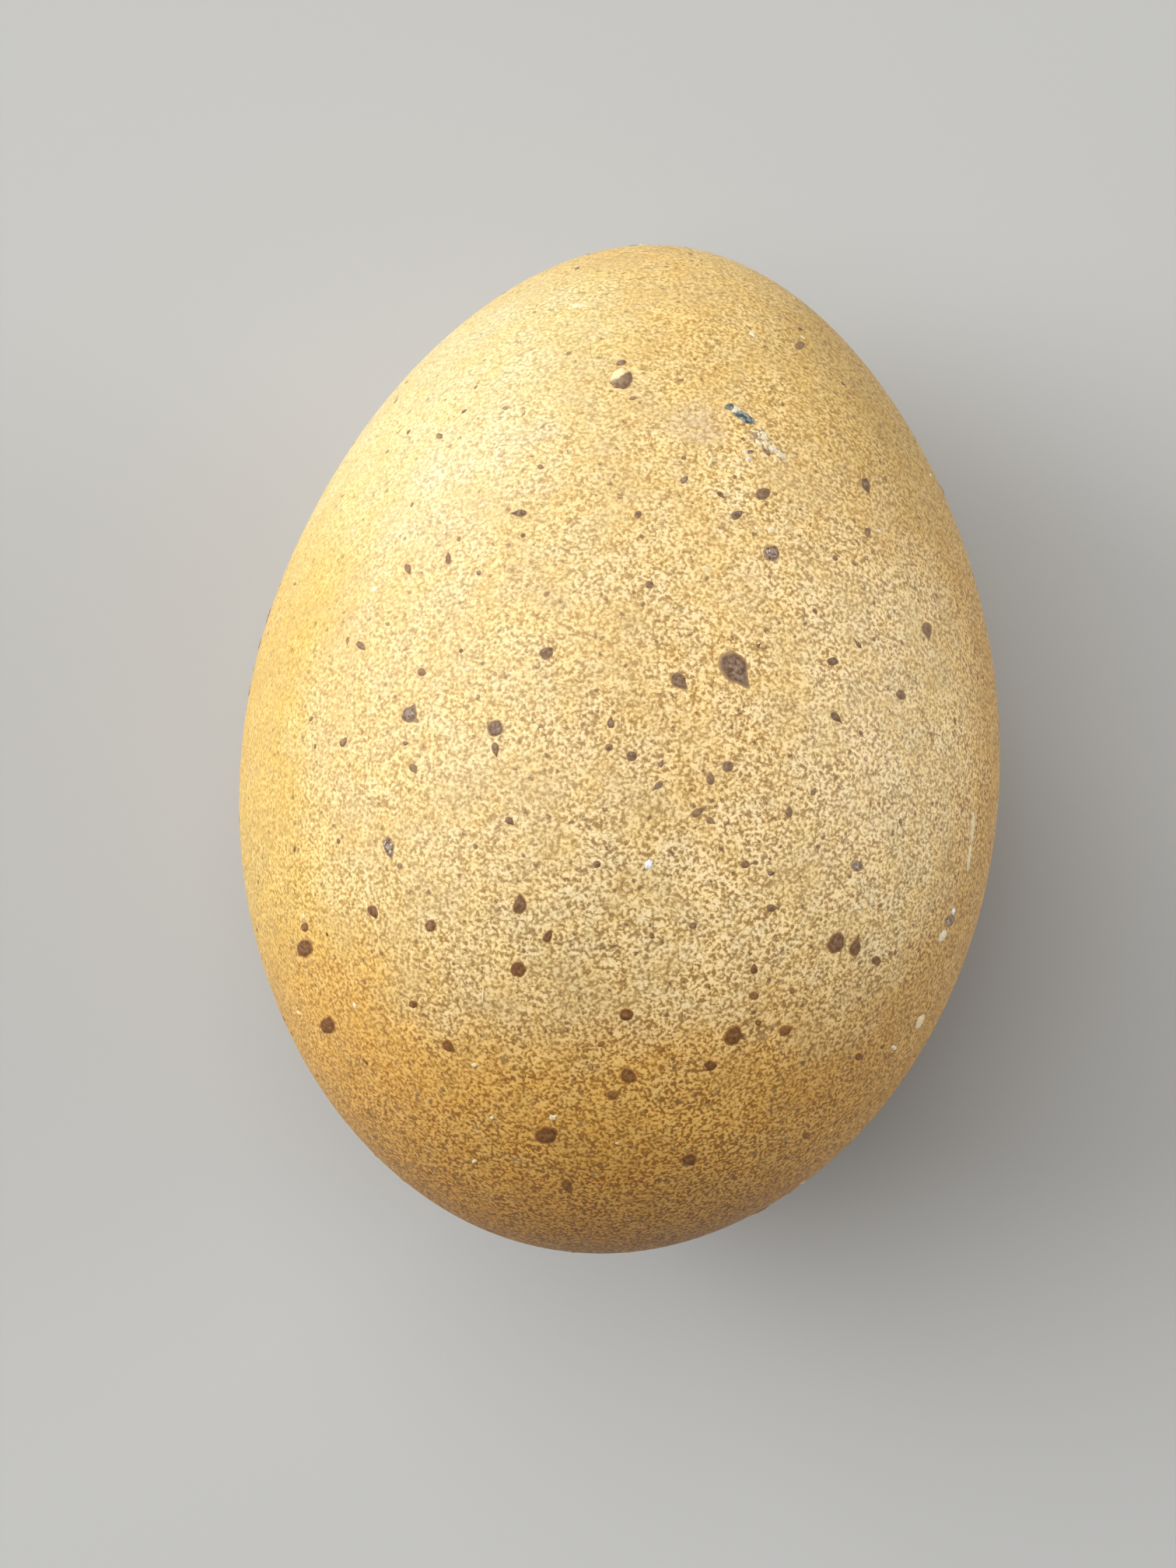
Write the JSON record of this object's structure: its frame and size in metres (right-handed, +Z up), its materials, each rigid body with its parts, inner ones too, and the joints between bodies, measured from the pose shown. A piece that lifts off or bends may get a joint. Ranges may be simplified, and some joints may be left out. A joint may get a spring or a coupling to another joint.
{
  "type": "egg",
  "caption": "Whole speckled hen's egg with a tan and golden shell, lying on its side on a small flat spot.",
  "frame": {"origin": "on the surface that the egg lies on, below the middle of its outline seen from above", "axes": "+Y runs along the egg towards its narrow end, +Z is up, and the egg's flat spot faces -Z"},
  "size_m": [0.0432, 0.058, 0.043],
  "materials": {
    "eggshell": "satin, finely mottled, with scattered dark brown specks"
  },
  "bodies": {
    "root": {"egg": "eggshell"}
  },
  "joints": []
}
